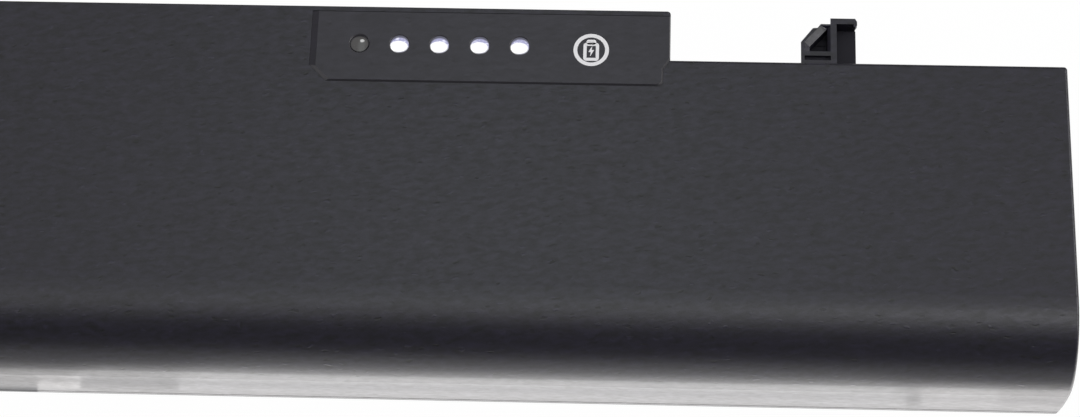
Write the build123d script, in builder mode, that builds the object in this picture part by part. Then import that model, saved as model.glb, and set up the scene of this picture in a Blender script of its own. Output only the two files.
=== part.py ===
"""Removable battery pack for a laptop: six round lithium cells in a long moulded case.

The case is a deep tub, closed from underneath by a shallow cover. Its front is rounded over the first row of
cells. At the back a wide section projects between two latch lugs, and holds the gauge board: five charge
lights under one clear guide, a push switch under a raised panel, and the output connector.

Frame: X along the pack, +Y from the rounded front to the back that enters the laptop, +Z up. The origin
is on the underside, in the middle of the bounding box. All sizes are in millimetres.
"""

import os
from math import hypot, sqrt

from build123d import *

os.makedirs("parts", exist_ok=True)

# Case
length = 206.0
depth = 52.0
height = 21.0
section_width = 96.4
section_projection = 7.5
wall = 1.5
roof = 1.2
bay_roof = 1.8
front_radius = 10.5
lower_front_radius = 60.0
end_edge_radius = 0.5
corner_radius = 0.5
top_edge_radius = 0.2
bottom_edge_break = 0.3

# Seam between the tub and its cover
seam_z = 1.7
seam_break = 0.15
floor_z = 1.2
fit_gap = 0.1
tongue_thickness = 0.9
tongue_top_z = 4.2

# Cells
cell_diameter = 18.2
cell_length = 65.0
columns = 3
column_gap = 1.2
row_gap = 0.4
front_row_y = -15.0

# Gauge panel, lights and button
panel_rise = 0.3
panel_pocket = 0.6
panel_gap = 0.03
light_xs = [4.85, 10.45, 16.05, 21.65, 27.25]
light_y = 20.1
window_diameter = 2.7
button_x = 37.2
button_y = 19.7

# Circuit board and connector
board_low_x = -44.0
board_high_x = 46.0
board_front_y = 13.6
board_back_y = 24.0
board_z = 15.4
board_thickness = 1.0
connector_x = -27.0
connector_width = 28.0
connector_depth = 8.3
connector_low_z = 6.0
contact_count = 9
contact_pitch = 2.8

# Nickel strips, card and leads
strip_thickness = 0.2
strip_height = 6.0
card_thickness = 0.2
lead_thickness = 0.6
lead_width = 5.0

# Places worked out from the sizes above
half_length = length / 2
half_section = section_width / 2
front_y = -depth / 2
section_back_y = depth / 2
back_y = section_back_y - section_projection
front_centre_z = height - front_radius
front_foot_y = front_y + lower_front_radius - sqrt(lower_front_radius**2 - front_centre_z**2)
cell_radius = cell_diameter / 2
cell_z = floor_z + cell_radius
back_row_y = front_row_y + cell_diameter + row_gap
row_ys = [front_row_y, back_row_y]
valley_y = (front_row_y + back_row_y) / 2
cells_back_y = back_row_y + cell_radius
column_pitch = cell_length + column_gap
column_starts = [(i - columns / 2) * column_pitch + column_gap / 2 for i in range(columns)]
cells_end_x = column_starts[-1] + cell_length
roof_z = height - roof
bay_roof_z = height - bay_roof
pocket_z = height - panel_pocket
panel_top_z = height + panel_rise
panel_back_y = section_back_y - 0.9
board_top_z = board_z + board_thickness
connector_left_x = connector_x - connector_width / 2
connector_right_x = connector_x + connector_width / 2
connector_back_y = section_back_y - 0.1
connector_front_y = connector_back_y - connector_depth
contact_xs = [connector_x + (i - (contact_count - 1) / 2) * contact_pitch for i in range(contact_count)]
strips_back_y = cells_back_y + strip_thickness
card_back_y = strips_back_y + card_thickness


def save(builder, name):
    """Labels a finished piece and writes it."""
    builder.part.label = name
    export_step(builder.part, f"parts/{name}.step")


def span(low, high, mode=Mode.ADD):
    """A box from its lowest to its highest corner, added to the part in progress or cut from it."""
    with Locations(tuple((a + b) / 2 for a, b in zip(low, high))):
        Box(*[b - a for a, b in zip(low, high)], mode=mode)


def round_bars(places, radius, low_z, high_z, mode=Mode.ADD):
    """Upright cylinders at the given places in plan, added or cut."""
    with Locations(*[(x, y, low_z) for x, y in places]):
        Cylinder(radius, high_z - low_z, align=(Align.CENTER, Align.CENTER, Align.MIN), mode=mode)


def square_bars(places, size_x, size_y, low_z, high_z, mode=Mode.ADD):
    """Upright bars of one rectangular section at the given places in plan, added or cut."""
    with Locations(*[(x, y, low_z) for x, y in places]):
        Box(size_x, size_y, high_z - low_z, align=(Align.CENTER, Align.CENTER, Align.MIN), mode=mode)


def footprint(inset):
    """Corners of the case's plan at its foot, moved inwards by inset."""
    end, side = half_length - inset, half_section - inset
    front, back, tip = front_foot_y + inset, back_y - inset, section_back_y - inset
    return [(-end, front), (end, front), (end, back), (side, back), (side, tip),
            (-side, tip), (-side, back), (-end, back)]


def inset_corners(corners, insets):
    """Corners of a polygon whose edges have each moved inwards by their own distance.

    Edge i runs from corner i to the next one, with the inside on its left.
    """
    lines = []
    for i, inset in enumerate(insets):
        (x0, y0), (x1, y1) = corners[i], corners[(i + 1) % len(corners)]
        run = hypot(x1 - x0, y1 - y0)
        normal = ((y0 - y1) / run, (x1 - x0) / run)
        lines.append((normal, normal[0] * x0 + normal[1] * y0 + inset))
    moved = []
    for i in range(len(corners)):
        (a, p), (b, q) = lines[i - 1], lines[i]
        cross = a[0] * b[1] - a[1] * b[0]
        moved.append(((p * b[1] - q * a[1]) / cross, (q * a[0] - p * b[0]) / cross))
    return moved


def case_form():
    """The closed case's outer form: the side profile drawn along X, with the projecting section added."""
    with BuildPart() as form:
        with BuildSketch(Plane.YZ):
            with BuildLine():
                Line((front_foot_y, 0), (back_y, 0))
                Line((back_y, 0), (back_y, height))
                Line((back_y, height), (front_y + front_radius, height))
                CenterArc((front_y + front_radius, front_centre_z), front_radius, 90, 90)
                RadiusArc((front_y, front_centre_z), (front_foot_y, 0), -lower_front_radius)
            make_face()
        extrude(amount=half_length, both=True)
        ends = form.faces().filter_by(Axis.X)
        rounded = [e for e in ends.edges() if e.center().Z > 0.1 and e.center().Y < back_y - 0.1]
        fillet(rounded, end_edge_radius)
        fillet(form.edges().filter_by(Axis.Z).group_by(Axis.Y)[-1], corner_radius)
        span((-half_section, back_y - wall, 0), (half_section, section_back_y, height))
        fillet(form.edges().filter_by(Axis.Z).group_by(Axis.Y)[-1], corner_radius)
        tops = [e for e in form.edges().group_by(Axis.Z)[-1] if e.center().Y > back_y - 0.1]
        fillet(tops, top_edge_radius)
        chamfer(form.edges().group_by(Axis.Z)[0], bottom_edge_break)
    return form.part


def cavity():
    """The room inside the tub, open below: the cell hall under the roof and the board bay behind it."""
    inner_radius = front_radius - wall
    centre_z = roof_z - inner_radius
    with BuildPart() as room:
        with BuildSketch(Plane.YZ):
            with BuildLine():
                Line((front_foot_y + wall, 0), (back_y - wall, 0))
                Line((back_y - wall, 0), (back_y - wall, roof_z))
                Line((back_y - wall, roof_z), (front_y + wall + inner_radius, roof_z))
                CenterArc((front_y + wall + inner_radius, centre_z), inner_radius, 90, 90)
                Line((front_y + wall, centre_z), (front_foot_y + wall, 0))
            make_face()
        extrude(amount=half_length - wall, both=True)
        # The roof is thicker over the board bay
        span((-half_section, board_front_y, bay_roof_z), (half_section, back_y, height), mode=Mode.SUBTRACT)
        span((-half_section + wall, board_front_y, 0),
             (half_section - wall, section_back_y - wall, bay_roof_z))
    return room.part


# Latch lug on the right, in plan at its top. The left one is its mirror image
lug_top_z = 19.5
lug_low_z = 12.9
lug_draft = 4
lug_web_top_z = 16.4
lug_web_low_z = 15.4
lug_root_y = back_y - wall
lug_tip_front_y = 25.15
lug_wall = 0.5
lug_left_x = 66.4
lug_right_x = 74.0
lug_rib_x = 70.55
lug_rib_right_x = 71.4
lug_outline = [(lug_left_x, lug_root_y), (lug_right_x, lug_root_y), (lug_right_x, section_back_y),
               (lug_rib_x, section_back_y), (lug_rib_x, 25.1), (69.2, 25.1), (68.75, 24.5), (68.1, 24.45),
               (lug_left_x, 22.25)]
# The slot near the root, and the deep window past the cross rib
lug_slot_y = 19.5
lug_cross_rib_y = 20.2
lug_window_y = 20.85
lug_window = [(lug_left_x + lug_wall, lug_window_y), (lug_rib_x, lug_window_y), (lug_rib_x, 24.85),
              (69.15, 24.85), (lug_left_x + lug_wall, 22.3)]
# How far each side of the window's mouth slopes in: front, right, back, diagonal, left
lug_mouth = [0.0, 0.4, 0.25, 0.9, 0.75]
lug_mouth_depth = 0.5
lug_window_floor_z = 17.2
# The hooked end of the tip
lug_hook = [(lug_right_x - 0.2, 24.75), (lug_right_x + 0.1, 24.75), (lug_right_x + 0.27, 25.0),
            (lug_right_x + 0.27, 25.55), (lug_right_x, section_back_y), (lug_right_x - 0.2, section_back_y)]
lug_hook_low_z = 18.6


def lug_plan(corners, z):
    """A closed outline of the lug at height z."""
    with BuildSketch(Plane.XY.offset(z)) as plan:
        Polygon(*corners, align=None)
    return plan.sketch


def latch_lug():
    """A drafted lug with a hooked tip, cored out from above and below to a web."""
    slot = ((lug_left_x + lug_wall, lug_slot_y), (lug_rib_x, lug_cross_rib_y))
    bolt_seat = ((lug_rib_right_x, lug_root_y), (lug_right_x + 1.0, lug_tip_front_y))
    mouth_floor = inset_corners(lug_window, lug_mouth)
    mouth_floor_z = lug_top_z - lug_mouth_depth
    with BuildPart() as lug:
        extrude(lug_plan(lug_outline, lug_top_z), amount=lug_low_z - lug_top_z, taper=lug_draft)
        for low, high in (slot, bolt_seat):
            span((*low, lug_web_top_z), (*high, lug_top_z), mode=Mode.SUBTRACT)
            span((*low, lug_low_z), (*high, lug_web_low_z), mode=Mode.SUBTRACT)
        loft([lug_plan(lug_window, lug_top_z), lug_plan(mouth_floor, mouth_floor_z)], ruled=True,
             mode=Mode.SUBTRACT)
        extrude(lug_plan(mouth_floor, mouth_floor_z), amount=lug_window_floor_z - mouth_floor_z,
                mode=Mode.SUBTRACT)
        span((lug_rib_x, lug_root_y, lug_web_low_z), (lug_right_x + 0.3, lug_tip_front_y, lug_web_top_z))
        extrude(lug_plan(lug_hook, lug_hook_low_z), amount=lug_top_z - lug_hook_low_z)
    return lug.part


# Square posts under the bay's roof, which the board rests against
post_places = [(-42.0, 15.4), (8.7, 15.4), (44.0, 15.4)]
post_size = 2.6
button_hole_radius = 2.8
rib_thickness = 1.2
roof_rib_height = 3.0

# The raised panel's foot, anticlockwise from its chamfered corner
panel_foot = [(-2.0, 16.8), (0.4, 14.4), (47.2, 14.4), (47.2, 16.9), (half_section, back_y),
              (half_section, panel_back_y), (-2.0, panel_back_y)]
# How far each flank leans in on its way up: chamfered corner, front, three on the right, back, left
panel_flanks = [0.45, 0.15, 0.2, 0.2, 0.15, 0.1, 0.9]
panel_corner_radius = 0.8
panel_back_groove = 0.12


def upper_shell(form):
    """The tub, with its pocket for the panel, light slot, button hole, connector notch and lugs."""
    with BuildPart() as shell:
        add(form)
        split(bisect_by=Plane.XY.offset(seam_z), keep=Keep.TOP)
        chamfer(shell.faces().sort_by(Axis.Z)[0].edges(), seam_break)
        lug = latch_lug()
        add(lug)
        add(mirror(lug, about=Plane.YZ))
        add(cavity(), mode=Mode.SUBTRACT)
        # Rib in the valley between the two rows of cells
        span((-half_length + wall, valley_y - rib_thickness / 2, roof_z - roof_rib_height),
             (half_length - wall, valley_y + rib_thickness / 2, roof_z))
        square_bars(post_places, post_size, post_size, board_top_z, bay_roof_z)
        # Pocket for the raised panel, open at the section's right side, with a groove behind the panel
        gaps = [-panel_gap] * 4 + [-1.0, -panel_back_groove, -panel_gap]
        with BuildSketch(Plane.XY.offset(pocket_z)) as pocket:
            Polygon(*inset_corners(panel_foot, gaps), align=None)
            fillet(pocket.vertices().sort_by_distance((47.2, 14.4, pocket_z))[0], panel_corner_radius)
        extrude(amount=height, mode=Mode.SUBTRACT)
        # Slot for the light guide's five studs, and the hole for the button
        span((light_xs[0] - window_diameter / 2, light_y - window_diameter / 2, roof_z - wall),
             (light_xs[-1] + window_diameter / 2, light_y + window_diameter / 2, height), mode=Mode.SUBTRACT)
        round_bars([(button_x, button_y)], button_hole_radius, roof_z - wall, height, mode=Mode.SUBTRACT)
        # Notch in the back wall for the connector
        span((connector_left_x - fit_gap, section_back_y - wall - fit_gap, 0),
             (connector_right_x + fit_gap, section_back_y + fit_gap, board_z), mode=Mode.SUBTRACT)
    save(shell, "upper_shell")


# Shallow recess in the underside, left bare
recess_half_length = 86.0
recess_front_y = -18.0
recess_back_y = 12.0
recess_depth = 0.25


def bottom_cover(form):
    """The shallow cover: its rim meets the tub at the seam, and its tongue locates it inside the tub."""
    tongue_outer = wall + fit_gap
    tongue_inner = tongue_outer + tongue_thickness
    with BuildPart() as cover:
        add(form)
        split(bisect_by=Plane.XY.offset(seam_z), keep=Keep.BOTTOM)
        chamfer(cover.faces().sort_by(Axis.Z)[-1].edges(), seam_break)
        with BuildSketch(Plane.XY.offset(floor_z)):
            Polygon(*footprint(tongue_outer), align=None)
        extrude(amount=tongue_top_z - floor_z)
        with BuildSketch(Plane.XY.offset(floor_z)):
            Polygon(*footprint(tongue_inner), align=None)
        extrude(amount=height, mode=Mode.SUBTRACT)
        # Rib between the two rows of cells
        rib_end_x = half_length - 6.0
        span((-rib_end_x, valley_y - rib_thickness / 2, 1.0),
             (rib_end_x, valley_y + rib_thickness / 2, tongue_top_z))
        # Upright that closes the tub's notch under the connector
        span((connector_left_x, section_back_y - tongue_inner, 1.0),
             (connector_right_x, section_back_y, connector_low_z))
        span((-recess_half_length, recess_front_y, 0), (recess_half_length, recess_back_y, recess_depth),
             mode=Mode.SUBTRACT)
    save(cover, "bottom_cover")


def panel_face(corners, z):
    """The panel's plan at height z, with its free front corner rounded."""
    with BuildSketch(Plane.XY.offset(z)) as face:
        Polygon(*corners, align=None)
        fillet(face.vertices().sort_by_distance((*corners[2], z))[0], panel_corner_radius)
    return face.sketch


web_thickness = 0.35
web_radius = 4.0
window_break = 0.12


def gauge_panel():
    """The raised panel: leaning flanks, five windows, and a thin web over the button."""
    with BuildPart() as panel:
        extrude(panel_face(panel_foot, pocket_z), amount=panel_pocket)
        brow = inset_corners(panel_foot, panel_flanks)
        loft([panel_face(panel_foot, height), panel_face(brow, panel_top_z)], ruled=True)
        light_places = [(x, light_y) for x in light_xs]
        round_bars(light_places, window_diameter / 2, pocket_z, panel_top_z, mode=Mode.SUBTRACT)
        rims = panel.edges().filter_by(GeomType.CIRCLE).group_by(Axis.Z)[-1]
        chamfer(rims.filter_by(lambda e: abs(e.radius - window_diameter / 2) < 0.01), window_break)
        round_bars([(button_x, button_y)], web_radius, pocket_z, panel_top_z - web_thickness,
                   mode=Mode.SUBTRACT)
    save(panel, "gauge_panel")


lens_radius = window_diameter / 2 - 0.05
lens_top_z = panel_top_z - 0.05
bar_thickness = 1.1
bar_half_width = 1.7


def light_guide():
    """Five clear studs on one bar: each carries a light up through the roof to its window."""
    bar_end = lens_radius + 1.0
    with BuildPart() as guide:
        span((light_xs[0] - bar_end, light_y - bar_half_width, bay_roof_z - bar_thickness),
             (light_xs[-1] + bar_end, light_y + bar_half_width, bay_roof_z))
        round_bars([(x, light_y) for x in light_xs], lens_radius, bay_roof_z, lens_top_z)
    save(guide, "light_guide")


def charge_lights():
    """Five surface-mounted lights, all of one kind: a substrate with a moulded window on top."""
    half_base, half_window, half_width = 0.8, 0.55, 0.4
    substrate, window = 0.35, 0.65
    for number, x in enumerate(light_xs, start=1):
        with BuildPart() as light:
            span((x - half_base, light_y - half_width, board_top_z),
                 (x + half_base, light_y + half_width, board_top_z + substrate))
            span((x - half_window, light_y - half_width, board_top_z + substrate),
                 (x + half_window, light_y + half_width, board_top_z + window))
            chamfer(light.edges().group_by(Axis.Z)[-1], 0.08)
        save(light, f"charge_light_{number}")


switch_top_z = board_top_z + 1.5
stem_top_z = switch_top_z + 0.5
stem_radius = 1.1
stem_well = 0.5
button_radius = 2.65
button_flange_radius = 3.6
button_flange = 0.7
button_height = 2.5


def gauge_switch():
    """The push switch: a square body on four feet, with a well for its stem."""
    half_body, foot_height = 2.3, 0.2
    with BuildPart() as body:
        span((button_x - half_body, button_y - half_body, board_top_z + foot_height / 2),
             (button_x + half_body, button_y + half_body, switch_top_z))
        chamfer(body.edges().filter_by(Axis.Z), 0.4)
        round_bars([(button_x, button_y)], stem_radius + 0.1, switch_top_z - stem_well, switch_top_z,
                   mode=Mode.SUBTRACT)
        with Locations((button_x, button_y, board_top_z + foot_height / 2)):
            with GridLocations(5.0, 3.2, 2, 2):
                Box(1.0, 0.7, foot_height)
    save(body, "gauge_switch")


def gauge_button():
    """The switch's stem, and the flanged button that stands between the stem and the panel's web."""
    with BuildPart() as stem:
        round_bars([(button_x, button_y)], stem_radius, switch_top_z - stem_well + 0.3, stem_top_z)
    save(stem, "switch_stem")
    with BuildPart() as button:
        round_bars([(button_x, button_y)], button_flange_radius, stem_top_z, stem_top_z + button_flange)
        round_bars([(button_x, button_y)], button_radius, stem_top_z, stem_top_z + button_height)
    save(button, "gauge_button")


# Forked contacts in the connector block's chambers
tail_y = connector_front_y - 0.1
contact_thickness = 0.2
contact_low_z = 8.3
contact_high_z = 12.7
chamber_half_width = 1.0
chamber_low_z = 8.0
chamber_high_z = 13.0
slot_half_width = 0.5
slot_low_z = 7.0
slot_high_z = 14.0
slot_depth = 1.6
funnel = 0.3


def circuit_board():
    """The board, with slots for the contacts' tails."""
    with BuildPart() as board:
        span((board_low_x, board_front_y, board_z), (board_high_x, board_back_y, board_top_z))
        chamfer(board.edges().filter_by(Axis.Z), 0.8)
        square_bars([(x, tail_y) for x in contact_xs], 0.7, 0.4, board_z, board_top_z, mode=Mode.SUBTRACT)
    save(board, "circuit_board")


def connector_block():
    """The connector block: an upright slot with a funnel mouth for each blade, and a chamber behind it."""
    with BuildPart() as block:
        span((connector_left_x, connector_front_y, connector_low_z),
             (connector_right_x, connector_back_y, board_z))
        chamfer(block.edges().filter_by(Axis.Y), 0.3)
        for x in contact_xs:
            mouth_y = connector_back_y - slot_depth
            lip_y = connector_back_y - funnel
            span((x - slot_half_width, mouth_y, slot_low_z),
                 (x + slot_half_width, connector_back_y, slot_high_z), mode=Mode.SUBTRACT)
            span((x - slot_half_width - funnel, lip_y, slot_low_z - funnel),
                 (x + slot_half_width + funnel, connector_back_y, slot_high_z + funnel), mode=Mode.SUBTRACT)
            span((x - chamber_half_width, connector_front_y, chamber_low_z),
                 (x + chamber_half_width, mouth_y, chamber_high_z), mode=Mode.SUBTRACT)
    save(block, "connector_block")


def connector_contacts():
    """The forked contacts: two spring arms that close on a blade, and a tail up through the board."""
    tip_y = connector_back_y - slot_depth - 0.3
    with BuildPart() as contacts:
        for x in contact_xs:
            half_fork = [(0.5, tip_y), (0.3, tip_y - 1.2), (0.75, tip_y - 4.0), (0.75, tail_y)]
            left = [(x - across, y) for across, y in half_fork]
            right = [(x + across, y) for across, y in reversed(half_fork)]
            with BuildSketch(Plane.XY.offset(contact_low_z)):
                with BuildLine():
                    Polyline(*left, *right)
                trace(line_width=contact_thickness)
            extrude(amount=contact_high_z - contact_low_z)
            span((x - 0.25, tail_y - contact_thickness / 2, contact_high_z),
                 (x + 0.25, tail_y + contact_thickness / 2, board_top_z + 0.5))
    save(contacts, "connector_contacts")


# Chips under the board: name, centre, size in plan, height and legs on each side
chips = [
    ("gauge_chip", 2.0, 19.0, 7.6, 5.0, 1.4, 6),
    ("protection_chip", 14.0, 18.6, 5.0, 4.4, 1.2, 4),
    ("charge_transistor", 23.0, 18.6, 4.9, 3.9, 1.5, 4),
    ("discharge_transistor", 30.5, 18.6, 4.9, 3.9, 1.5, 4),
]
leg_width = 0.4
leg_thickness = 0.2
leg_reach = 0.8
standoff = 0.1


def board_chips():
    """The chips on the board's underside, each a moulded body with bent legs on two sides."""
    for name, x, y, size_x, size_y, rise, legs in chips:
        top = board_z - standoff
        leg_z = top - rise * 0.6
        pitch = (size_x - 1.0) / (legs - 1)
        with BuildPart() as chip:
            span((x - size_x / 2, y - size_y / 2, top - rise), (x + size_x / 2, y + size_y / 2, top))
            chamfer(chip.edges().group_by(Axis.Z)[0], 0.25)
            for side in (-1, 1):
                root = y + side * size_y / 2
                end = root + side * leg_reach
                knee = end - side * leg_thickness
                for i in range(legs):
                    leg_x = x + (i - (legs - 1) / 2) * pitch
                    span((leg_x - leg_width / 2, min(root, end), leg_z),
                         (leg_x + leg_width / 2, max(root, end), leg_z + leg_thickness))
                    span((leg_x - leg_width / 2, min(knee, end), leg_z),
                         (leg_x + leg_width / 2, max(knee, end), board_z))
        save(chip, name)


def thermal_fuse():
    """The thermal fuse, a flat block beside the positive lead."""
    with BuildPart() as fuse:
        span((36.6, 20.6, board_z - 1.0), (42.0, 23.6, board_z))
        chamfer(fuse.edges().filter_by(Axis.Z), 0.3)
    save(fuse, "thermal_fuse")


def current_shunt():
    """The current shunt, a metal bridge on two feet."""
    low_x, high_x, low_y, high_y, foot = 35.6, 41.9, 14.2, 17.4, 1.2
    with BuildPart() as shunt:
        span((low_x, low_y, board_z - 0.7), (high_x, high_y, board_z - standoff))
        for x in (low_x, high_x - foot):
            span((x, low_y, board_z - 0.7), (x + foot, high_y, board_z))
    save(shunt, "current_shunt")


def ceramic_capacitors():
    """Two rows of small capacitors beside the gauge chip."""
    with BuildPart() as capacitors:
        with Locations((-5.5, 18.6, board_z - 0.35)):
            with GridLocations(1.0, 6.8, 6, 2):
                Box(0.6, 1.2, 0.7)
    save(capacitors, "ceramic_capacitors")


bead_x = -4.0
bead_z = 11.0
bead_radius = 1.1
bead_height = 2.4
wire_size = 0.4


def thermistor():
    """The thermistor: a bead that rests on the card behind the cells, on two wires from the board."""
    bead_y = card_back_y + bead_radius
    wires = [(bead_x - wire_size, bead_y), (bead_x + wire_size, bead_y)]
    with BuildPart() as sensor:
        round_bars([(bead_x, bead_y)], bead_radius, bead_z - bead_height / 2, bead_z + bead_height / 2)
        square_bars(wires, wire_size, wire_size, bead_z, board_z)
    save(sensor, "thermistor")


cap_radius = 3.0
cap_rise = 0.15


def cell(start_x, centre_y, number):
    """One sealed round cell in its sleeve, with its positive cap towards +X inside a paper ring."""
    end = start_x + cell_length
    half_profile = [(start_x, 0), (start_x, cell_radius), (end - cap_rise, cell_radius),
                    (end - cap_rise, cap_radius), (end, cap_radius), (end, 0)]
    with BuildPart() as can:
        with BuildSketch(Plane.XY.offset(cell_z)):
            with BuildLine():
                Polyline(*[(x, centre_y + r) for x, r in half_profile], close=True)
            make_face()
        revolve(axis=Axis((0, centre_y, cell_z), (1, 0, 0)))
    save(can, f"lithium_cell_{number}")


def insulators():
    """Tape between the two rows, the card in front of the board, and the foam pads at the ends."""
    for number, start_x in enumerate(column_starts, start=1):
        with BuildPart() as tape:
            span((start_x + 3.0, valley_y - row_gap / 2, cell_z - 4.0),
                 (start_x + cell_length - 6.0, valley_y + row_gap / 2, cell_z + 4.0))
        save(tape, f"bonding_tape_{number}")
    card_end_x = cells_end_x - 5.7
    with BuildPart() as card:
        span((-card_end_x, strips_back_y, floor_z), (card_end_x, card_back_y, board_z - 0.4))
    save(card, "insulating_card")
    pad_overhang, pad_half_height = 6.0, 5.5
    for side, name in ((-1, "end_pad_left"), (1, "end_pad_right")):
        near = side * (cells_end_x + strip_thickness)
        far = side * (half_length - wall)
        with BuildPart() as pad:
            span((min(near, far), front_row_y - pad_overhang, cell_z - pad_half_height),
                 (max(near, far), back_row_y + pad_overhang, cell_z + pad_half_height))
        save(pad, name)


strip_front_y = front_row_y - 3.5
strip_low_z = cell_z - strip_height / 2
strip_high_z = cell_z + strip_height / 2
tab_width = 4.0
tab_landing = 2.0
end_tab_length = 5.2


def series_strips():
    """Folded strips in the two gaps between columns, each with a tab up and over the board's edge."""
    for number, right in enumerate(column_starts[1:], start=1):
        left = right - column_gap
        tab_left = (left + right - tab_width) / 2
        tab_right = tab_left + tab_width
        with BuildPart() as strip:
            span((left, strip_front_y, strip_low_z), (left + strip_thickness, strips_back_y, strip_high_z))
            span((right - strip_thickness, strip_front_y, strip_low_z), (right, strips_back_y, strip_high_z))
            span((left, cells_back_y, strip_low_z), (right, strips_back_y, strip_high_z))
            span((tab_left, cells_back_y, strip_high_z - 1.5),
                 (tab_right, strips_back_y, board_top_z + strip_thickness))
            span((tab_left, cells_back_y, board_top_z),
                 (tab_right, board_front_y + tab_landing, board_top_z + strip_thickness))
        save(strip, f"series_strip_{number}")


def end_strips():
    """The strips on the pack's two ends, each bent round the last cell to meet its lead."""
    for side, name in ((-1, "negative_strip"), (1, "positive_strip")):
        near = side * cells_end_x
        far = side * (cells_end_x + strip_thickness)
        tab = side * (cells_end_x - end_tab_length)
        with BuildPart() as strip:
            span((min(near, far), strip_front_y, strip_low_z),
                 (max(near, far), card_back_y + strip_thickness, strip_high_z))
            span((min(far, tab), card_back_y, strip_low_z),
                 (max(far, tab), card_back_y + strip_thickness, strip_high_z))
        save(strip, name)


# Where each lead leaves the card, where it lies under the board, and where it ends
lead_routes = [
    (-1, "negative_lead", 53.0, 48.0, 41.0),
    (1, "positive_lead", 53.0, 48.0, 43.0),
]
lead_back_y = 16.2
lead_bend_radius = 3.0


def leads():
    """The two insulated flat leads from the end strips, along the card and to the board's underside."""
    start_y = card_back_y + strip_thickness + lead_thickness / 2
    lead_z = board_z - lead_width / 2
    for side, name, bend_x, straight_x, end_x in lead_routes:
        start = (side * (cells_end_x - 1.0), start_y, lead_z)
        with BuildPart() as lead:
            with BuildLine():
                FilletPolyline(start, (side * bend_x, start_y, lead_z),
                               (side * straight_x, lead_back_y, lead_z),
                               (side * end_x, lead_back_y, lead_z), radius=lead_bend_radius)
            with BuildSketch(Plane(origin=start, x_dir=(0, 1, 0), z_dir=(-side, 0, 0))):
                Rectangle(lead_thickness, lead_width)
            sweep()
        save(lead, name)


closed_case = case_form()
upper_shell(closed_case)
bottom_cover(closed_case)
gauge_panel()
light_guide()
charge_lights()
gauge_switch()
gauge_button()
circuit_board()
connector_block()
connector_contacts()
board_chips()
thermal_fuse()
current_shunt()
ceramic_capacitors()
thermistor()
for row, centre_y in enumerate(row_ys):
    for column, start_x in enumerate(column_starts):
        cell(start_x, centre_y, row * columns + column + 1)
insulators()
series_strips()
end_strips()
leads()
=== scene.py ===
"""The looks of a long black laptop battery pack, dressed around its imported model.

Everything is in metres, in the pack's own frame: +X along the pack, +Y towards the laptop, +Z up.
"""

import bpy
import numpy as np
from mathutils import Matrix, Vector


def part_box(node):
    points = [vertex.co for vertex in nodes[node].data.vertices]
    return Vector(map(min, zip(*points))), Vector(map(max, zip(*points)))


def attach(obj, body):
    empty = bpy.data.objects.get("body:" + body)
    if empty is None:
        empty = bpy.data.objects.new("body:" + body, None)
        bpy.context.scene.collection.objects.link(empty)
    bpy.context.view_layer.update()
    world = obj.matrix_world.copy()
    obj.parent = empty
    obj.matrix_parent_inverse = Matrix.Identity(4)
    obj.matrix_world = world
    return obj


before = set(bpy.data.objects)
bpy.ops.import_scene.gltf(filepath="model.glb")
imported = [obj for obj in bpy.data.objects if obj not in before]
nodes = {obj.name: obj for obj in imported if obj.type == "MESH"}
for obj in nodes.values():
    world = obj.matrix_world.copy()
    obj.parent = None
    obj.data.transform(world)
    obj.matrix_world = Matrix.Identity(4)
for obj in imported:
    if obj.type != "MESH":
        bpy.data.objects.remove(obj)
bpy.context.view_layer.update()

# Camera
# The photograph looks steeply down on the pack, from in front and a little to the right, with the camera
# rolled by four degrees. It frames the right three quarters of the pack.
millimetre = 0.001
camera_elevation = np.radians(67.63)
camera_azimuth = np.radians(5.41)
camera_roll = np.radians(-3.94)
camera_distance = 352.2 * millimetre
camera_target = Vector((30.8, -4.21, 21.0)) * millimetre

towards_camera = Vector((np.sin(camera_azimuth) * np.cos(camera_elevation),
                         -np.cos(camera_azimuth) * np.cos(camera_elevation), np.sin(camera_elevation)))
level_right = Vector((np.cos(camera_azimuth), np.sin(camera_azimuth), 0))
level_up = towards_camera.cross(level_right)
camera_right = np.cos(camera_roll) * level_right + np.sin(camera_roll) * level_up
camera_up = np.cos(camera_roll) * level_up - np.sin(camera_roll) * level_right
camera = bpy.data.objects.new("camera", bpy.data.cameras.new("camera"))
camera.data.lens = 86.5
camera.data.sensor_width = 36
camera.data.clip_start = 0.01
place = Matrix((camera_right, camera_up, towards_camera)).transposed().to_4x4()
place.translation = camera_target + towards_camera * camera_distance
camera.matrix_world = place
bpy.context.scene.collection.objects.link(camera)
bpy.context.scene.camera = camera
bpy.context.scene.view_settings.view_transform = "Standard"


# Floor
# A white table top without an edge in sight. It shows white to the camera and in reflections, and the little
# light that it scatters by itself keeps the pack's shadow.
def add_node(tree, kind, inputs=None, **settings):
    """A new shader node. Its inputs are given by name or number, as values or as other nodes' outputs."""
    node = tree.nodes.new("ShaderNode" + kind)
    for key, value in settings.items():
        setattr(node, key, value)
    for key, value in (inputs or {}).items():
        if isinstance(value, bpy.types.NodeSocket):
            tree.links.new(value, node.inputs[key])
        else:
            node.inputs[key].default_value = value
    return node


def calculate(tree, operation, *terms):
    """The output of a Math node on two or three terms, each a value or another node's output."""
    return add_node(tree, "Math", dict(enumerate(terms)), operation=operation).outputs[0]


def hypotenuse(tree, first, second):
    """The square root of the sum of two squares."""
    square = calculate(tree, "MULTIPLY_ADD", first, first, calculate(tree, "MULTIPLY", second, second))
    return calculate(tree, "SQRT", square)


def away_from(tree, value, centre):
    """How far a value is from a centre, on either side of it."""
    return calculate(tree, "ABSOLUTE", calculate(tree, "SUBTRACT", value, centre))


def surface_place(tree):
    """The object's own coordinates of a point on its surface, together and as separate outputs."""
    where = add_node(tree, "TexCoord").outputs["Object"]
    return where, add_node(tree, "SeparateXYZ", {0: where}).outputs


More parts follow.
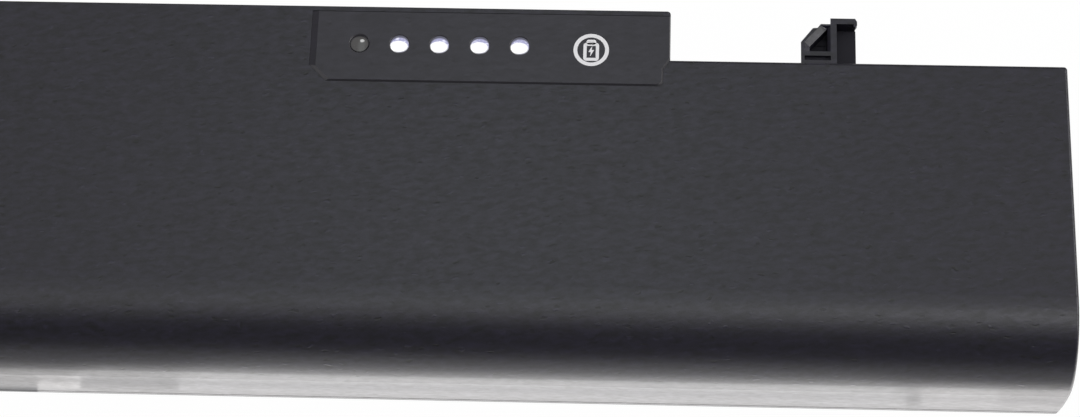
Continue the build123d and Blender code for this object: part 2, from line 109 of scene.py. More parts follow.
def mesh_piece(name, points, faces):
    """A piece whose mesh has the given points and faces, with its object at the origin."""
    mesh = bpy.data.meshes.new(name)
    mesh.from_pydata(np.asarray(points).tolist(), [], [list(map(int, face)) for face in faces])
    piece = bpy.data.objects.new(name, mesh)
    bpy.context.scene.collection.objects.link(piece)
    return piece


floor_half = 4.0
floor_drop = 0.05 * millimetre
own_white = 0.985
floor_corners = [(-floor_half, -floor_half), (floor_half, -floor_half),
                 (floor_half, floor_half), (-floor_half, floor_half)]
floor = mesh_piece("floor", [(x, y, -floor_drop) for x, y in floor_corners], [range(4)])
floor_paint = bpy.data.materials.new("floor_paint")
floor_paint.use_nodes = True
tree = floor_paint.node_tree
tree.nodes.clear()
seen = add_node(tree, "LightPath")
shown = calculate(tree, "MAXIMUM", seen.outputs["Is Camera Ray"], seen.outputs["Is Glossy Ray"])
shown = calculate(tree, "MAXIMUM", shown, seen.outputs["Is Transmission Ray"])
matt = add_node(tree, "BsdfDiffuse", {"Color": (0.85, 0.85, 0.85, 1)})
white = add_node(tree, "Emission", {"Strength": 1.0})
blend = add_node(tree, "MixShader", {"Fac": calculate(tree, "MULTIPLY", shown, own_white),
                                     1: matt.outputs[0], 2: white.outputs[0]})
add_node(tree, "OutputMaterial", {"Surface": blend.outputs[0]})
floor.data.materials.append(floor_paint)

# Studio light
# Soft lamps hang over the pack: a wide one, one over its middle, one in front, a key lamp to the right
# and one on each side. Six low panels lie on the table along the pack's foot and light its front from below.
world = bpy.data.worlds.new("studio")
bpy.context.scene.world = world
world.use_nodes = True
tree = world.node_tree
tree.nodes.clear()
seen = add_node(tree, "LightPath")
room = add_node(tree, "Background", {"Color": (1, 1, 1, 1), "Strength": 0.2})
backdrop = add_node(tree, "Background", {"Color": (1, 1, 1, 1), "Strength": 1.0})
blend = add_node(tree, "MixShader", {"Fac": seen.outputs["Is Camera Ray"], 1: room.outputs[0],
                                     2: backdrop.outputs[0]})
add_node(tree, "OutputWorld", {"Surface": blend.outputs[0]})


def soft_lamp(name, low, high, height, radiance, colour=(1, 1, 1), faces_up=False):
    """A level rectangular lamp between two corners: its power is radiance times pi times its area."""
    lamp = bpy.data.lights.new(name, "AREA")
    lamp.color = colour
    lamp.shape = "RECTANGLE"
    lamp.size = high[0] - low[0]
    lamp.size_y = high[1] - low[1]
    lamp.energy = radiance * np.pi * lamp.size * lamp.size_y
    stand = bpy.data.objects.new(name, lamp)
    stand.location = ((low[0] + high[0]) / 2, (low[1] + high[1]) / 2, height)
    stand.rotation_euler.x = np.pi if faces_up else 0
    stand.visible_camera = False
    bpy.context.scene.collection.objects.link(stand)


warm_white = (1.0, 0.975, 0.955)
soft_lamp("wide_lamp", (-0.8, -0.46), (0.8, 0.8), 0.92, 0.58)
soft_lamp("left_lamp", (-3.1, -0.5), (-1.9, 0.8), 0.9, 8.0)
soft_lamp("right_lamp", (1.0, -0.5), (2.3, 0.8), 0.9, 5.5)
soft_lamp("front_lamp", (-0.7, -0.7), (0.7, -0.03), 0.93, 0.45)
soft_lamp("middle_lamp", (-0.12, -0.24), (0.1, 0.52), 0.91, 0.85, colour=(0.88, 1.0, 1.0))
soft_lamp("key_lamp", (0.19, -0.3), (0.45, -0.04), 0.9, 2.7)
soft_lamp("outer_panel", (-0.02, -0.09), (0.082, -0.0262), 0.0001, 0.66, faces_up=True)
soft_lamp("middle_panel", (-0.035, -0.052), (0.095, -0.0272), 0.0002, 0.5, faces_up=True)
soft_lamp("inner_panel", (-0.034, -0.042), (0.21, -0.029), 0.0003, 1.95, warm_white, faces_up=True)
soft_lamp("left_panel", (-0.15, -0.042), (-0.034, -0.0262), 0.0005, 1.45, warm_white, faces_up=True)
soft_lamp("right_panel", (0.084, -0.042), (0.21, -0.0262), 0.0006, 0.8, warm_white, faces_up=True)
soft_lamp("foot_panel", (-0.04, -0.0276), (0.21, -0.0252), 0.0004, 1.35, warm_white, faces_up=True)

# Moulded case
# The tub and its cover are injection moulded in black ABS. The mould was spark eroded, which leaves a fine
# satin grain with scattered short dashes. The lower half of the front is smoother, below a soft crease.
grain = bpy.data.node_groups.new("moulded_grain", "ShaderNodeTree")
for socket in ("Pebble Scale", "Dash Scale"):
    grain.interface.new_socket(socket, in_out="INPUT", socket_type="NodeSocketFloat")
for socket in ("Height", "Mottle"):
    grain.interface.new_socket(socket, in_out="OUTPUT", socket_type="NodeSocketFloat")
given = grain.nodes.new("NodeGroupInput")
where = add_node(grain, "TexCoord").outputs["Object"]
wander = add_node(grain, "TexNoise", {"Vector": where, "Scale": 900, "Detail": 1.0})
strayed = add_node(grain, "VectorMath", {0: wander.outputs["Color"], 1: [0.9 * millimetre] * 3, 2: where},
                   operation="MULTIPLY_ADD")
drawn = add_node(grain, "Mapping", {"Vector": strayed.outputs[0], "Rotation": (0, 0, -0.12)})
drawn = add_node(grain, "VectorMath", {0: drawn.outputs[0], 1: (0.36, 1.0, 1.0)}, operation="MULTIPLY")
pebbles = add_node(grain, "TexNoise", {"Vector": where, "Scale": given.outputs["Pebble Scale"],
                                       "Detail": 2.0})
spots = add_node(grain, "TexVoronoi", {"Vector": drawn.outputs[0], "Scale": given.outputs["Dash Scale"]})
streaks = add_node(grain, "TexNoise", {"Vector": drawn.outputs[0], "Scale": given.outputs["Dash Scale"],
                                       "Detail": 3.0})
dash = add_node(grain, "MapRange", {"Value": spots.outputs["Distance"], "From Min": 0.14, "From Max": 0.34,
                                    "To Min": 1.0, "To Max": 0.0}, interpolation_type="SMOOTHSTEP")
chance = add_node(grain, "SeparateXYZ", {0: spots.outputs["Color"]}).outputs["X"]
sign = calculate(grain, "MULTIPLY_ADD", chance, 2.0, -1.0)
signed_square = calculate(grain, "MULTIPLY", sign, calculate(grain, "ABSOLUTE", sign))
mark = calculate(grain, "MULTIPLY", dash.outputs["Result"], signed_square)
streak = calculate(grain, "SUBTRACT", streaks.outputs["Fac"], 0.5)
pebbled = calculate(grain, "MULTIPLY_ADD", pebbles.outputs["Fac"], 0.35, mark)
height = calculate(grain, "MULTIPLY_ADD", streak, 1.2, pebbled)
mottle = calculate(grain, "MULTIPLY_ADD", mark, 0.5, calculate(grain, "MULTIPLY_ADD", streak, 1.6, 0.5))
results = grain.nodes.new("NodeGroupOutput")
grain.links.new(height, results.inputs["Height"])
grain.links.new(mottle, results.inputs["Mottle"])


def new_material(name, **constants):
    """A material with its node tree and its Principled shader, whose plain inputs are set by name."""
    material = bpy.data.materials.new(name)
    material.use_nodes = True
    shader = material.node_tree.nodes["Principled BSDF"]
    for key, value in constants.items():
        shader.inputs[key.replace("_", " ").title().replace("Ior", "IOR")].default_value = value
    return material, material.node_tree, shader


def mix_colours(tree, factor, low, high):
    """The output of a colour mix from low to high, each a colour's three parts or another node's output."""
    ends = [(*end, 1) if isinstance(end, tuple) else end for end in (low, high)]
    mixed = add_node(tree, "Mix", {"Factor": factor, "A": ends[0], "B": ends[1]}, data_type="RGBA")
    return mixed.outputs["Result"]


def raise_surface(tree, shader, height, depth):
    """Feeds a height to the shader's normal through a Bump node of the given depth."""
    bump = add_node(tree, "Bump", {"Height": height, "Distance": depth, "Strength": 1.0})
    tree.links.new(bump.outputs["Normal"], shader.inputs["Normal"])


def relief_of(tree):
    """A material's Bump node, and the output that feeds its height."""
    bump = next(node for node in tree.nodes if node.type == "BUMP")
    return bump, bump.inputs["Height"].links[0].from_socket


def moulded_plastic(name, colour, roughness, pebble_scale, dash_scale, contrast, depth):
    """Plastic with a moulded grain, which shows in its colour, its roughness and its relief."""
    material, tree, shader = new_material(name)
    grained = add_node(tree, "Group", node_tree=grain)
    grained.inputs["Pebble Scale"].default_value = pebble_scale
    grained.inputs["Dash Scale"].default_value = dash_scale
    mottle = grained.outputs["Mottle"]
    tone = mix_colours(tree, mottle, tuple(part * (1 - contrast) for part in colour),
                       tuple(part * (1 + contrast) for part in colour))
    sheen = add_node(tree, "MapRange", {"Value": mottle, "To Min": roughness + 0.05,
                                        "To Max": roughness - 0.05})
    tree.links.new(tone, shader.inputs["Base Color"])
    tree.links.new(sheen.outputs["Result"], shader.inputs["Roughness"])
    raise_surface(tree, shader, grained.outputs["Height"], depth)
    return material, tree, shader


def finish_nodes(material, *names):
    """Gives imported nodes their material."""
    for name in names:
        for slot in nodes[name].material_slots:
            slot.material = material


crease_z = 12.7 * millimetre
crease_reach = 3.9 * millimetre
# The depths of the crease and the grain are in millimetres, because the bump's own depth is one millimetre
crease_depth = 0.52
crease_blend = 0.12
front_half_y = -16 * millimetre
grain_depth = 0.016
case_plastic, tree, shader = moulded_plastic("case_plastic", (0.0086, 0.0076, 0.0142), 0.34, 9000, 1500, 0.9,
                                             millimetre)
place = surface_place(tree)[1]
at_front = calculate(tree, "LESS_THAN", place["Y"], front_half_y)
lowered = add_node(tree, "MapRange", {"Value": place["Z"], "From Min": crease_z,
                                      "From Max": crease_z - crease_reach})
below = calculate(tree, "MULTIPLY", lowered.outputs["Result"], at_front)
# The crease: the surface turns in below its line, softly at first and by less and less further down
square = calculate(tree, "MULTIPLY", below, below)
softened = calculate(tree, "SQRT", calculate(tree, "ADD", square, crease_blend ** 2))
turned = calculate(tree, "SUBTRACT", softened, crease_blend)
inward = calculate(tree, "MULTIPLY_ADD", square, -0.5, turned)
smooth = calculate(tree, "MINIMUM", calculate(tree, "MULTIPLY", below, 6.0), 1.0)
fine = calculate(tree, "MULTIPLY", calculate(tree, "MULTIPLY_ADD", smooth, -0.9, 1.0), grain_depth)
bump, grained = relief_of(tree)
tree.links.new(calculate(tree, "SUBTRACT", calculate(tree, "MULTIPLY", grained, fine),
                         calculate(tree, "MULTIPLY", inward, crease_depth)), bump.inputs["Height"])
finish_nodes(case_plastic, "upper_shell", "bottom_cover")


# Lug floors
# Inside each latch lug the moulding is filled up to a raised floor in the bolt's seat, behind the tip wall,
# in the slot at the root and in the window. These floors are painted darker and duller than the outer faces,
# as painted shade for the lug's hollows.
def boxes_mesh(boxes):
    """Points and faces of separate boxes, each given by its lowest and its highest corner."""
    corners = np.array([[i >> axis & 1 for axis in range(3)] for i in range(8)])
    sides = np.array([(0, 2, 3, 1), (4, 5, 7, 6), (0, 1, 5, 4), (2, 6, 7, 3), (0, 4, 6, 2), (1, 3, 7, 5)])
    lows, highs = (np.array([box[end] for box in boxes])[:, None] for end in (0, 1))
    points = (lows + corners * (highs - lows)).reshape(-1, 3) * millimetre
    faces = (sides + 8 * np.arange(len(boxes))[:, None, None]).reshape(-1, 4)
    return points, faces


# The last four boxes are thin sheets of painted shade laid just over the window's floor.
lug_floors = [((71.3, 17.2, 16.3), (74.22, 25.16, 17.2)), ((73.0, 25.14, 16.3), (74.12, 25.93, 18.7)),
              ((66.8, 19.4, 16.3), (70.65, 20.3, 18.9)), ((67.0, 20.75, 17.0), (70.6, 21.8, 17.23)),
              ((67.4, 21.7, 17.0), (70.6, 22.8, 17.23)), ((68.2, 22.7, 17.0), (70.6, 23.8, 17.23)),
              ((69.0, 23.7, 17.0), (70.6, 24.6, 17.23))]
# Painted shade: a darker, duller plastic than the case, standing for the shade inside the lugs.
painted_shade_plastic, tree, shader = new_material("painted_shade_plastic", roughness=0.75, specular_ior_level=0.3)
scoring = add_node(tree, "TexNoise", {"Vector": add_node(tree, "TexCoord").outputs["Object"], "Scale": 6000,
                                      "Detail": 2.0})
tree.links.new(mix_colours(tree, scoring.outputs["Fac"], (0.005, 0.0046, 0.008), (0.011, 0.01, 0.016)),
               shader.inputs["Base Color"])
raise_surface(tree, shader, scoring.outputs["Fac"], 0.01 * millimetre)
for side, name in ((1, "lug_floor_right"), (-1, "lug_floor_left")):
    points, faces = boxes_mesh(lug_floors)
    points = points * (side, 1, 1)
    piece = mesh_piece(name, points, faces[:, ::side])
    piece.data.materials.append(painted_shade_plastic)
    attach(piece, "case")

# Gauge panel
# A smoother plate of the same plastic, pressed into a pocket of the roof so that it stands a little proud.
# Its steep flanks are painted lighter than its face, lightest where they face right: a painted highlight.
panel_plastic, tree, shader = moulded_plastic("panel_plastic", (0.0122, 0.0108, 0.0176), 0.34, 9000, 1500,
                                              0.35, 0.004 * millimetre)
steep_limit = 0.9
facing = add_node(tree, "SeparateXYZ", {0: add_node(tree, "TexCoord").outputs["Normal"]})
steep = calculate(tree, "LESS_THAN", facing.outputs["Z"], steep_limit)
right_highlight_mask = calculate(tree, "MAXIMUM", facing.outputs["X"], 0.0)
# Painted highlight: the flanks are lighter than the face, and lighter still where they face right.
flank_painted_light = mix_colours(tree, right_highlight_mask, (0.036, 0.034, 0.04), (0.07, 0.067, 0.072))
plate = shader.inputs["Base Color"].links[0].from_socket
tree.links.new(mix_colours(tree, steep, plate, flank_painted_light), shader.inputs["Base Color"])
finish_nodes(panel_plastic, "gauge_panel")

# Charge windows
# The light guide's stud ends, moulded in one clear piece with a slight dome. Four are lit white from below,
# with a dimmer violet rim on the far side that is painted shade. The first one is off; its far edge is
# painted dark as shade, with a painted highlight at its upper right.
first_window_x = 4.85 * millimetre
window_pitch = 5.6 * millimetre
window_y = 20.1 * millimetre
window_radius = 1.3 * millimetre
window_dome = 0.12 * millimetre
guide_plastic, tree, shader = new_material("guide_plastic", roughness=0.15, emission_strength=1.0)
where, place = surface_place(tree)
from_first = calculate(tree, "SUBTRACT", place["X"], first_window_x - window_pitch / 2)
from_centre = calculate(tree, "SUBTRACT", calculate(tree, "FLOORED_MODULO", from_first, window_pitch),
                        window_pitch / 2)
across = calculate(tree, "DIVIDE", from_centre, window_radius)
up = calculate(tree, "DIVIDE", calculate(tree, "SUBTRACT", place["Y"], window_y), window_radius)


def distance_from(tree, across, up, centre, reach=(1, 1)):
    """How far a point in the window is from a centre, with each direction divided by its reach."""
    sideways = calculate(tree, "DIVIDE", calculate(tree, "SUBTRACT", across, centre[0]), reach[0])
    upwards = calculate(tree, "DIVIDE", calculate(tree, "SUBTRACT", up, centre[1]), reach[1])
    return hypotenuse(tree, sideways, upwards)


def fall_off(tree, distance, start, end):
    """One inside the start distance, falling smoothly to nothing at the end distance."""
    ramp = add_node(tree, "MapRange", {"Value": distance, "From Min": start, "From Max": end, "To Min": 1.0,
                                       "To Max": 0.0}, interpolation_type="SMOOTHSTEP")
    return ramp.outputs["Result"]


is_lit = calculate(tree, "GREATER_THAN", place["X"], first_window_x + window_pitch / 2)
from_axis = distance_from(tree, across, up, (0, 0))
# The white core is set towards the front; the far side is painted dimmer and violet, as painted shade.
core = fall_off(tree, distance_from(tree, across, up, (-0.08, -0.3), (1.0, 0.68)), 0.84, 1.08)
rim = fall_off(tree, distance_from(tree, across, up, (0.02, -0.1), (1.0, 0.88)), 0.86, 1.04)
specks = add_node(tree, "TexNoise", {"Vector": where, "Scale": 2600, "Detail": 2.0})
speck = add_node(tree, "MapRange", {"Value": specks.outputs["Fac"], "From Min": 0.5, "From Max": 0.66})
# A painted highlight on the unlit lens, at its upper right.
painted_glint = fall_off(tree, distance_from(tree, across, up, (0.28, 0.3), (1.3, 1.0)), 0.1, 0.24)
painted_far_shade = mix_colours(tree, speck.outputs["Result"], (0.3, 0.3, 0.5), (0.8, 0.8, 0.95))
shaded_rim = mix_colours(tree, rim, (0.03, 0.03, 0.05), painted_far_shade)
glow = mix_colours(tree, core, shaded_rim, (1.0, 1.0, 1.0))
tree.links.new(mix_colours(tree, is_lit, (0.0, 0.0, 0.0), glow), shader.inputs["Emission Color"])
# The unlit lens: its far edge is painted dark as shade, and the painted highlight is laid over it.
unshaded_disc = fall_off(tree, distance_from(tree, across, up, (0, -0.08)), 0.82, 0.97)
disc_with_painted_shade = mix_colours(tree, unshaded_disc, (0.012, 0.011, 0.015), (0.06, 0.057, 0.057))
dark_lens = mix_colours(tree, painted_glint, disc_with_painted_shade, (0.6, 0.6, 0.6))
tree.links.new(mix_colours(tree, is_lit, dark_lens, (0.1, 0.1, 0.12)), shader.inputs["Base Color"])
dome = calculate(tree, "SUBTRACT", 1.0, calculate(tree, "MULTIPLY", from_axis, from_axis))
raise_surface(tree, shader, dome, window_dome)
finish_nodes(guide_plastic, "light_guide")

# Button mark
# The mark printed on the web over the button: a ring around an upright battery with a bolt in it, in light
# grey ink a hundredth of a millimetre thick.
mark_x = 37.2 * millimetre
mark_y = 19.62 * millimetre
ink_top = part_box("gauge_panel")[1][2] + 0.012 * millimetre
ink_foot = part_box("gauge_panel")[1][2] - 0.02 * millimetre
ink, tree, shader = new_material("mark_ink", roughness=0.55)
where = add_node(tree, "TexCoord").outputs["Object"]
coverage = add_node(tree, "TexNoise", {"Vector": where, "Scale": 9000, "Detail": 3.0})
tree.links.new(mix_colours(tree, coverage.outputs["Fac"], (0.68, 0.67, 0.69), (0.82, 0.81, 0.83)),
               shader.inputs["Base Color"])
raise_surface(tree, shader, coverage.outputs["Fac"], 0.002 * millimetre)


def print_mark(name, points, faces):
    """Adds a printed piece to the case."""
    piece = mesh_piece(name, points, faces)
    piece.data.materials.append(ink)
    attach(piece, "case")


def printed_line(name, path, width):
    """A closed line of ink: a rectangular section carried round a path of points in plan.

    Each corner of the section is the path's point moved sideways by half the width, mitred at the corners.
    """
    path = np.asarray(path) * millimetre + (mark_x, mark_y)
    before = path - np.roll(path, 1, axis=0)
    after = np.roll(path, -1, axis=0) - path
    normals = [np.stack([-run[:, 1], run[:, 0]], axis=1) / np.linalg.norm(run, axis=1)[:, None]
               for run in (before, after)]
    mitre = normals[0] + normals[1]
    mitre *= width * millimetre / (mitre * normals[0]).sum(axis=1)[:, None] / 2
    count = len(path)
    section = [(path + mitre, ink_top), (path + mitre, ink_foot),
               (path - mitre, ink_foot), (path - mitre, ink_top)]
    points = np.concatenate([np.column_stack([corner, np.full(count, z)]) for corner, z in section])
    here = np.arange(count)
    after = (here + 1) % count
    faces = np.concatenate([np.stack([side * count + here, side * count + after,
                                      (side + 1) % 4 * count + after, (side + 1) % 4 * count + here], axis=1)
                            for side in range(4)])
    print_mark(name, points, faces)


def rounded_box(half_width, low, high, radius):
    """The anticlockwise outline of a box with rounded corners, with each corner an arc of five points."""
    centres = [(half_width - radius, high - radius), (radius - half_width, high - radius),
               (radius - half_width, low + radius), (half_width - radius, low + radius)]
    turns = np.radians(np.arange(0, 91, 22.5))
    return np.concatenate([np.add(centre, radius * np.stack([np.cos(turns + quarter * np.pi / 2),
                                                             np.sin(turns + quarter * np.pi / 2)], axis=1))
                           for quarter, centre in enumerate(centres)])


ring_turns = np.linspace(0, 2 * np.pi, 96, endpoint=False)
ring_radius = 2.2
printed_line("mark_ring", ring_radius * np.stack([np.cos(ring_turns), np.sin(ring_turns)], axis=1), 0.54)
printed_line("mark_battery", rounded_box(0.86, -1.44, 0.86, 0.2), 0.46)
printed_line("mark_terminal", rounded_box(0.5, 1.0, 1.4, 0.15), 0.34)
bolt = np.array([(0.14, 0.62), (-0.4, -0.32), (-0.06, -0.32), (-0.14, -1.0), (0.4, 0.0), (0.06, 0.0)])
bolt_plan = bolt * millimetre + (mark_x, mark_y)
bolt_points = np.concatenate([np.column_stack([bolt_plan, np.full(len(bolt), z)])
                              for z in (ink_foot, ink_top)])
corners = np.arange(len(bolt))
bolt_walls = [(i, (i + 1) % len(bolt), (i + 1) % len(bolt) + len(bolt), i + len(bolt)) for i in corners]
print_mark("mark_bolt", bolt_points, [corners[::-1], corners + len(bolt), *bolt_walls])

# Output connector
# A block moulded in glass-filled nylon, darker and rougher than the case, with a gold-plated forked contact
# in each of its chambers.
connector_nylon = moulded_plastic("connector_nylon", (0.01, 0.01, 0.011), 0.5, 9000, 4000, 0.3,
                                  0.004 * millimetre)[0]
finish_nodes(connector_nylon, "connector_block")


def rolled_metal(name, colour, roughness, depth):
    """Sheet metal with fine rolling lines, which run along the piece and vary its roughness."""
    material, tree, shader = new_material(name, metallic=1.0)
    where = add_node(tree, "TexCoord").outputs["Object"]
    along = add_node(tree, "Mapping", {"Vector": where, "Scale": (0.04, 1.0, 1.0)})
    lines = add_node(tree, "TexNoise", {"Vector": along.outputs[0], "Scale": 12000, "Detail": 3.0})
    stains = add_node(tree, "TexNoise", {"Vector": where, "Scale": 300, "Detail": 2.0})
    tone = mix_colours(tree, stains.outputs["Fac"], tuple(part * 0.85 for part in colour), colour)
    sheen = add_node(tree, "MapRange", {"Value": lines.outputs["Fac"], "To Min": roughness - 0.08,
                                        "To Max": roughness + 0.08})
    tree.links.new(tone, shader.inputs["Base Color"])
    tree.links.new(sheen.outputs["Result"], shader.inputs["Roughness"])
    raise_surface(tree, shader, lines.outputs["Fac"], depth)
    return material


contact_gold = rolled_metal("contact_gold", (0.83, 0.6, 0.27), 0.24, 0.0005 * millimetre)
finish_nodes(contact_gold, "connector_contacts")

# Circuit board
# Glass-epoxy laminate under green solder resist. Copper tracks show through the resist as a lighter green,
# and each contact's tail has a tinned land around it.
tail_row_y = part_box("connector_contacts")[0][1]
last_contact_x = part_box("connector_contacts")[1][0]
land_half = 0.6 * millimetre
resist, tree, shader = new_material("board_resist", roughness=0.3, coat_weight=0.4, coat_roughness=0.12)
where, place = surface_place(tree)
bends = add_node(tree, "TexVoronoi", {"Vector": where, "Scale": 420}, distance="MANHATTAN",
                 feature="DISTANCE_TO_EDGE")
track = add_node(tree, "MapRange", {"Value": bends.outputs["Distance"], "From Min": 0.08, "From Max": 0.12})
laminate = mix_colours(tree, track.outputs["Result"], (0.02, 0.22, 0.07), (0.008, 0.11, 0.035))
land = calculate(tree, "LESS_THAN", away_from(tree, place["Y"], tail_row_y), land_half)
in_row = calculate(tree, "LESS_THAN", place["X"], last_contact_x)
tinned = calculate(tree, "MULTIPLY", land, in_row)
tree.links.new(mix_colours(tree, tinned, laminate, (0.62, 0.62, 0.6)), shader.inputs["Base Color"])
tree.links.new(tinned, shader.inputs["Metallic"])
raise_surface(tree, shader, track.outputs["Result"], 0.01 * millimetre)
finish_nodes(resist, "circuit_board")

# Charge lights
# White light-emitting diodes: a pale ceramic substrate with a yellow phosphor window moulded on it.
window_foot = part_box("charge_light_1")[0][2] + 0.35 * millimetre
diode, tree, shader = new_material("charge_light", roughness=0.35)
where, place = surface_place(tree)
grit = add_node(tree, "TexNoise", {"Vector": where, "Scale": 15000, "Detail": 2.0})
phosphor = mix_colours(tree, grit.outputs["Fac"], (0.75, 0.62, 0.12), (0.9, 0.8, 0.25))
on_window = calculate(tree, "GREATER_THAN", place["Z"], window_foot)
tree.links.new(mix_colours(tree, on_window, (0.78, 0.77, 0.73), phosphor), shader.inputs["Base Color"])
raise_surface(tree, shader, grit.outputs["Fac"], 0.002 * millimetre)
finish_nodes(diode, *[f"charge_light_{number}" for number in range(1, 6)])


# Chips
# Epoxy bodies, ground matt on top, with tinned legs bent down to the board on two sides.
def part_metal(name, body, roughness, metal, axis, centre, half_body):
    """A matt body whose ends are metal beyond half the body's length from its centre, along one axis."""
    material, tree, shader = new_material(name)
    where, place = surface_place(tree)
    at_end = calculate(tree, "GREATER_THAN", away_from(tree, place[axis], centre), half_body)
    grit = add_node(tree, "TexNoise", {"Vector": where, "Scale": 14000, "Detail": 3.0})
    matt = mix_colours(tree, grit.outputs["Fac"], tuple(part * 0.7 for part in body),
                       tuple(part * 1.3 for part in body))
    tree.links.new(mix_colours(tree, at_end, matt, metal), shader.inputs["Base Color"])
    tree.links.new(at_end, shader.inputs["Metallic"])
    sheen = add_node(tree, "MapRange", {"Value": at_end, "To Min": roughness, "To Max": 0.3})
    tree.links.new(sheen.outputs["Result"], shader.inputs["Roughness"])
    raise_surface(tree, shader, grit.outputs["Fac"], 0.003 * millimetre)
    return material


def middle_and_half(node, axis):
    """The middle of a node along an axis, and half its size there."""
    low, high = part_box(node)
    return (low[axis] + high[axis]) / 2, (high[axis] - low[axis]) / 2


solder_tin = (0.66, 0.66, 0.64)
leg_reach = 0.8 * millimetre
for chip in ("gauge_chip", "protection_chip", "charge_transistor", "discharge_transistor"):
    middle, half = middle_and_half(chip, 1)
    finish_nodes(part_metal(chip + "_epoxy", (0.02, 0.02, 0.021), 0.55, solder_tin, "Y", middle,
                            half - leg_reach + 0.02 * millimetre), chip)

# Small parts of the board
# Barium titanate capacitors and a ceramic fuse with tinned ends, an alloy shunt, and a thermistor bead in
# epoxy on two tinned wires.
rows_y, rows_half = middle_and_half("ceramic_capacitors", 1)
capacitor_half = 0.6 * millimetre
capacitor_row = rows_half - capacitor_half
ceramic, tree, shader = new_material("capacitor_ceramic", roughness=0.4)
where, place = surface_place(tree)
from_middle = away_from(tree, place["Y"], rows_y)
from_row = away_from(tree, from_middle, capacitor_row)
capped = calculate(tree, "GREATER_THAN", from_row, 0.6 * capacitor_half)
speckle = add_node(tree, "TexNoise", {"Vector": where, "Scale": 20000, "Detail": 2.0})
fired = mix_colours(tree, speckle.outputs["Fac"], (0.3, 0.19, 0.1), (0.46, 0.32, 0.2))
tree.links.new(mix_colours(tree, capped, fired, solder_tin), shader.inputs["Base Color"])
tree.links.new(capped, shader.inputs["Metallic"])
raise_surface(tree, shader, speckle.outputs["Fac"], 0.002 * millimetre)
finish_nodes(ceramic, "ceramic_capacitors")

fuse_x, fuse_half = middle_and_half("thermal_fuse", 0)
finish_nodes(part_metal("fuse_ceramic", (0.6, 0.57, 0.5), 0.45, solder_tin, "X", fuse_x, 0.72 * fuse_half),
             "thermal_fuse")
bead_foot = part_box("thermistor")[0][2]
finish_nodes(part_metal("thermistor_epoxy", (0.03, 0.02, 0.015), 0.35, solder_tin, "Z", bead_foot,
                        2.4 * millimetre), "thermistor")
finish_nodes(rolled_metal("shunt_alloy", (0.55, 0.46, 0.4), 0.38, 0.001 * millimetre), "current_shunt")

# Switch and button
# A nylon push switch with a steel cover and a nylon stem, under a black silicone button.
switch_z, switch_half = middle_and_half("gauge_switch", 2)
finish_nodes(part_metal("switch_nylon", (0.03, 0.03, 0.032), 0.4, (0.6, 0.6, 0.58), "Z",
                        switch_z - 0.3 * millimetre, switch_half), "gauge_switch")
stem_nylon = moulded_plastic("stem_nylon", (0.5, 0.49, 0.45), 0.42, 9000, 6000, 0.1, 0.002 * millimetre)[0]
finish_nodes(stem_nylon, "switch_stem")
button_silicone = moulded_plastic("button_silicone", (0.02, 0.02, 0.021), 0.62, 8000, 6000, 0.25,
                                  0.006 * millimetre)[0]
finish_nodes(button_silicone, "gauge_button")

# Cells
# Steel cans in a shrunk blue-green sleeve that is lapped over both ends, with bare metal inside the laps and
# a white paper ring round the positive cap.
cap_radius = 3.0 * millimetre
lap_radius = 8.2 * millimetre


def cell_sleeve(name, low, high):
    """The finish of a cell, from its box: the distance from its axis tells sleeve, ring and can apart."""
    material, tree, shader = new_material(name, coat_weight=0.3, coat_roughness=0.15)
    axis_y, axis_z = (low[1] + high[1]) / 2, (low[2] + high[2]) / 2
    where, place = surface_place(tree)
    sideways = calculate(tree, "SUBTRACT", place["Y"], axis_y)
    upwards = calculate(tree, "SUBTRACT", place["Z"], axis_z)
    radius = hypotenuse(tree, sideways, upwards)
    creases = add_node(tree, "TexNoise", {"Vector": where, "Scale": 350, "Detail": 4.0, "Distortion": 0.5})
    film = mix_colours(tree, creases.outputs["Fac"], (0.012, 0.1, 0.14), (0.02, 0.16, 0.21))
    inside_lap = calculate(tree, "LESS_THAN", radius, lap_radius)
    at_cap_end = calculate(tree, "GREATER_THAN", place["X"], (low[0] + high[0]) / 2)
    off_cap = calculate(tree, "GREATER_THAN", radius, cap_radius)
    ring = calculate(tree, "MULTIPLY", inside_lap, calculate(tree, "MULTIPLY", at_cap_end, off_cap))
    bare = calculate(tree, "SUBTRACT", inside_lap, ring)
    wrapped = mix_colours(tree, ring, film, (0.72, 0.71, 0.66))
    tree.links.new(mix_colours(tree, bare, wrapped, (0.62, 0.61, 0.58)), shader.inputs["Base Color"])
    tree.links.new(bare, shader.inputs["Metallic"])
    sheen = add_node(tree, "MapRange", {"Value": ring, "To Min": 0.3, "To Max": 0.8})
    tree.links.new(sheen.outputs["Result"], shader.inputs["Roughness"])
    raise_surface(tree, shader, creases.outputs["Fac"], 0.03 * millimetre)
    return material


for number in range(1, 7):
    cell = f"lithium_cell_{number}"
    finish_nodes(cell_sleeve(cell + "_sleeve", *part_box(cell)), cell)

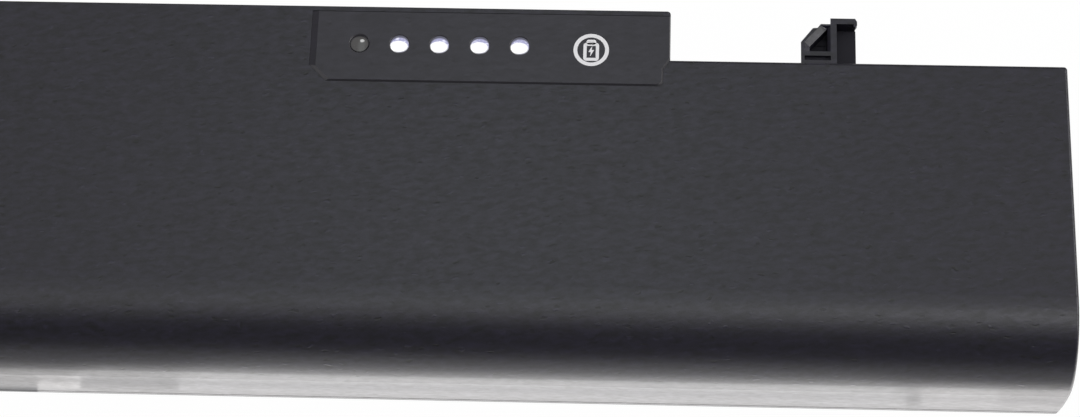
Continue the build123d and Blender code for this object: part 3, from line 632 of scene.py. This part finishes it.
# Strips
# Nickel strips, spot welded to the cells: each weld is four small dents around the middle of a cell's end.
weld_offset = 1.3 * millimetre
weld_radius = 0.45 * millimetre
weld_depth = 0.05 * millimetre
row_ys = [middle_and_half(f"lithium_cell_{number}", 1)[0] for number in (1, 4)]
axis_z = middle_and_half("lithium_cell_1", 2)[0]
nickel = rolled_metal("rolled_nickel", (0.66, 0.63, 0.57), 0.3, 0.001 * millimetre)
tree = nickel.node_tree
place = surface_place(tree)[1]
from_rows = [away_from(tree, place["Y"], y) for y in row_ys]
beside = calculate(tree, "SUBTRACT", calculate(tree, "MINIMUM", *from_rows), weld_offset)
above = calculate(tree, "SUBTRACT", away_from(tree, place["Z"], axis_z), weld_offset)
dent = fall_off(tree, hypotenuse(tree, beside, above), 0.4 * weld_radius, weld_radius)
bump, rolled = relief_of(tree)
bump.inputs["Distance"].default_value = weld_depth
tree.links.new(calculate(tree, "SUBTRACT", calculate(tree, "MULTIPLY", rolled, 0.02), dent),
               bump.inputs["Height"])
finish_nodes(nickel, "negative_strip", "positive_strip", "series_strip_1", "series_strip_2")


# Insulation
# Grey fish paper behind the board, amber film between the rows of cells, black closed-cell foam at the ends,
# and silicone over the two flat leads.
def speckled_sheet(name, low, high, roughness, scale, stretch, depth, texture="TexNoise", output="Fac"):
    """A matt material whose pattern, stretched along the pack, varies its colour and relief."""
    material, tree, shader = new_material(name, roughness=roughness)
    where = add_node(tree, "TexCoord").outputs["Object"]
    drawn = add_node(tree, "Mapping", {"Vector": where, "Scale": (1 / stretch, 1.0, 1.0)})
    pattern = add_node(tree, texture, {"Vector": drawn.outputs[0], "Scale": scale}).outputs[output]
    tree.links.new(mix_colours(tree, pattern, low, high), shader.inputs["Base Color"])
    raise_surface(tree, shader, pattern, depth)
    return material


finish_nodes(speckled_sheet("fish_paper", (0.2, 0.21, 0.19), (0.34, 0.35, 0.32), 0.8, 2500, 4.0,
                            0.01 * millimetre), "insulating_card")
finish_nodes(speckled_sheet("amber_film", (0.5, 0.2, 0.02), (0.62, 0.28, 0.04), 0.2, 400, 2.0,
                            0.01 * millimetre), "bonding_tape_1", "bonding_tape_2", "bonding_tape_3")
finish_nodes(speckled_sheet("end_foam", (0.01, 0.01, 0.01), (0.05, 0.05, 0.052), 0.9, 2200, 1.0,
                            0.12 * millimetre, "TexVoronoi", "Distance"), "end_pad_left", "end_pad_right")
finish_nodes(speckled_sheet("red_silicone", (0.36, 0.012, 0.01), (0.46, 0.02, 0.016), 0.45, 900, 6.0,
                            0.008 * millimetre), "positive_lead")
finish_nodes(speckled_sheet("black_silicone", (0.01, 0.01, 0.01), (0.018, 0.018, 0.018), 0.45, 900, 6.0,
                            0.008 * millimetre), "negative_lead")
